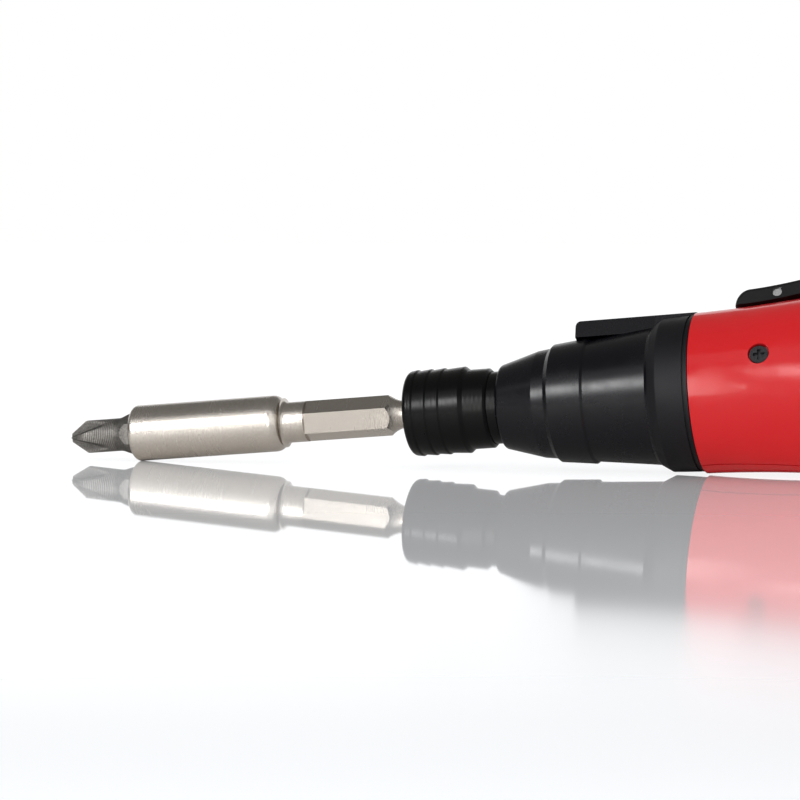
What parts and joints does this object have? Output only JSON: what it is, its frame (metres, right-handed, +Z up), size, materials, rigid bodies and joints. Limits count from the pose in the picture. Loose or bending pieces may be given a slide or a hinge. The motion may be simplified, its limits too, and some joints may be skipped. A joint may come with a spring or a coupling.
{
  "type": "electric screwdriver",
  "caption": "In-line cordless electric screwdriver with a red two-half handle, stepped black nose with lamp pod, quick-change hex chuck, magnetic bit holder and cross-recess bit.",
  "frame": {"origin": "middle of the bounding box on the bench that the tool lies on", "axes": "+Z up from the bench, +X along the bench from the bit to the handle's end; the tool's own axis is tipped up by about five degrees and its lever side is rolled 30 degrees towards +Y"},
  "size_m": [0.2616, 0.0426, 0.0462],
  "materials": {
    "bit_steel": "dark phosphate",
    "nickel_plate": "satin nickel",
    "sleeve_black": "black oxide, satin",
    "nose_plastic": "fine grained",
    "red_plastic": "satin",
    "grip_rubber": "matt",
    "lever_plastic": "satin",
    "bright_steel": "bright",
    "gear_steel": "sintered",
    "black_screw": "black oxide",
    "bronze": "sintered bronze",
    "copper": "enamelled wire",
    "ferrite": "ferrite",
    "zinc_can": "zinc plated",
    "white_nylon": "moulded",
    "carbon": "carbon brush",
    "clear_lens": "clear",
    "board_green": "solder mask",
    "switch_plastic": "moulded",
    "cell_wrap": "shrink wrap",
    "lead_wire": "insulation"
  },
  "bodies": {
    "housing": {"front_bush": "bronze", "bearing_outer_race": "bright_steel", "nose_cone": "nose_plastic", "lamp_lens": "clear_lens", "lamp_board": "white_nylon", "ring_gear": "gear_steel", "motor_plate": "bright_steel", "motor_screws": "bright_steel", "motor_can": "zinc_can", "motor_magnets": "ferrite", "motor_brushes": "carbon", "motor_end_bell": "white_nylon", "motor_bushes": "bronze", "motor_leads": "lead_wire", "case_screws": "black_screw", "front_screws": "black_screw", "lever_pin": "bright_steel", "lever_spring": "bright_steel", "start_switch": "switch_plastic", "direction_switch": "switch_plastic", "battery_cell": "cell_wrap", "control_board": "board_green", "end_cap": "nose_plastic", "charge_socket": "bright_steel", "charge_board": "board_green", "housing_left": "red_plastic", "grip_left": "grip_rubber", "housing_right": "red_plastic", "grip_right": "grip_rubber"},
    "rotor": {"motor_shaft": "bright_steel", "motor_pinion": "gear_steel", "armature_core": "gear_steel", "armature_winding": "copper", "commutator": "copper"},
    "first_carrier": {"carrier_1": "gear_steel", "carrier_1_pins": "bright_steel"},
    "output": {"carrier_2": "gear_steel", "carrier_2_pins": "bright_steel", "output_spindle": "sleeve_black", "spindle_clip": "bright_steel", "bearing_inner_race": "bright_steel", "locking_balls": "bright_steel", "chuck_snap_ring": "bright_steel", "chuck_spring": "bright_steel", "bit_holder": "nickel_plate", "holder_magnet": "bright_steel", "holder_clip": "bright_steel"},
    "bearing_set": {"bearing_balls": "bright_steel", "bearing_cage": "white_nylon"},
    "sleeve": {"chuck_sleeve": "sleeve_black"},
    "bit": {"driver_bit": "bit_steel"},
    "lever": {"start_lever": "lever_plastic"},
    "plunger": {"switch_plunger": "white_nylon"},
    "slider": {"direction_slider": "lever_plastic"},
    "first_planet_a": {"planet_1a": "gear_steel"},
    "second_planet_a": {"planet_2a": "gear_steel"},
    "first_planet_b": {"planet_1b": "gear_steel"},
    "second_planet_b": {"planet_2b": "gear_steel"},
    "first_planet_c": {"planet_1c": "gear_steel"},
    "second_planet_c": {"planet_2c": "gear_steel"}
  },
  "joints": [
    {"name": "rotor_spin", "type": "hinge", "parent": "housing", "child": "rotor", "pos_m": [-0.01321, 0, 0.01411], "axis": [0.9962, 0, 0.0866], "continuous": true},
    {"name": "first_carrier_spin", "type": "hinge", "parent": "housing", "child": "first_carrier", "pos_m": [-0.01321, 0, 0.01411], "axis": [0.9962, 0, 0.0866], "continuous": true},
    {"name": "output_spin", "type": "hinge", "parent": "housing", "child": "output", "pos_m": [-0.01321, 0, 0.01411], "axis": [0.9962, 0, 0.0866], "continuous": true},
    {"name": "first_planet_a_spin", "type": "hinge", "parent": "first_carrier", "child": "first_planet_a", "pos_m": [-0.01295, 0.00515, 0.01115], "axis": [0.9962, 0, 0.0866], "continuous": true},
    {"name": "second_planet_a_spin", "type": "hinge", "parent": "output", "child": "second_planet_a", "pos_m": [-0.01295, 0.00515, 0.01115], "axis": [0.9962, 0, 0.0866], "continuous": true},
    {"name": "first_planet_b_spin", "type": "hinge", "parent": "first_carrier", "child": "first_planet_b", "pos_m": [-0.01372, 0, 0.02003], "axis": [0.9962, 0, 0.0866], "continuous": true},
    {"name": "second_planet_b_spin", "type": "hinge", "parent": "output", "child": "second_planet_b", "pos_m": [-0.01372, 0, 0.02003], "axis": [0.9962, 0, 0.0866], "continuous": true},
    {"name": "first_planet_c_spin", "type": "hinge", "parent": "first_carrier", "child": "first_planet_c", "pos_m": [-0.01295, -0.00514, 0.01115], "axis": [0.9962, 0, 0.0866], "continuous": true},
    {"name": "second_planet_c_spin", "type": "hinge", "parent": "output", "child": "second_planet_c", "pos_m": [-0.01295, -0.00514, 0.01115], "axis": [0.9962, 0, 0.0866], "continuous": true},
    {"name": "bearing_set_spin", "type": "hinge", "parent": "housing", "child": "bearing_set", "pos_m": [-0.01321, 0, 0.01411], "axis": [0.9962, 0, 0.0866], "continuous": true},
    {"name": "sleeve_slide", "type": "slide", "parent": "output", "child": "sleeve", "axis": [0.9962, 0, 0.0866], "range_m": [0, 0.0015], "stiffness_N_per_m": 1500, "springref_m": -0.003, "deforming": ["chuck_spring"]},
    {"name": "bit_slide", "type": "slide", "parent": "output", "child": "bit", "axis": [-0.9962, 0, -0.0866], "range_m": [0, 0.0159]},
    {"name": "lever_press", "type": "hinge", "parent": "housing", "child": "lever", "pos_m": [-0.00088, 0.00812, 0.0293], "axis": [0.0433, 0.866, -0.4981], "range_deg": [0, 2.2], "stiffness_Nm_per_rad": 0.6, "springref_deg": -3.44, "deforming": ["lever_spring"]},
    {"name": "plunger_press", "type": "slide", "parent": "housing", "child": "plunger", "axis": [0.075, -0.5, -0.8628], "range_m": [0, 0.00187]},
    {"name": "direction_slide", "type": "slide", "parent": "housing", "child": "slider", "axis": [0.9962, 0, 0.0866], "range_m": [-0.002, 0.002]}
  ],
  "couplings": [
    {"joint": "first_carrier_spin", "follows": "rotor_spin", "ratio": 0.16667},
    {"joint": "output_spin", "follows": "rotor_spin", "ratio": 0.027778},
    {"joint": "first_planet_a_spin", "follows": "rotor_spin", "ratio": -0.41667},
    {"joint": "second_planet_a_spin", "follows": "rotor_spin", "ratio": -0.069444},
    {"joint": "first_planet_b_spin", "follows": "rotor_spin", "ratio": -0.41667},
    {"joint": "second_planet_b_spin", "follows": "rotor_spin", "ratio": -0.069444},
    {"joint": "first_planet_c_spin", "follows": "rotor_spin", "ratio": -0.41667},
    {"joint": "second_planet_c_spin", "follows": "rotor_spin", "ratio": -0.069444},
    {"joint": "bearing_set_spin", "follows": "rotor_spin", "ratio": 0.011146},
    {"joint": "plunger_press", "follows": "lever_press", "m_per_rad": 0.0484}
  ]
}
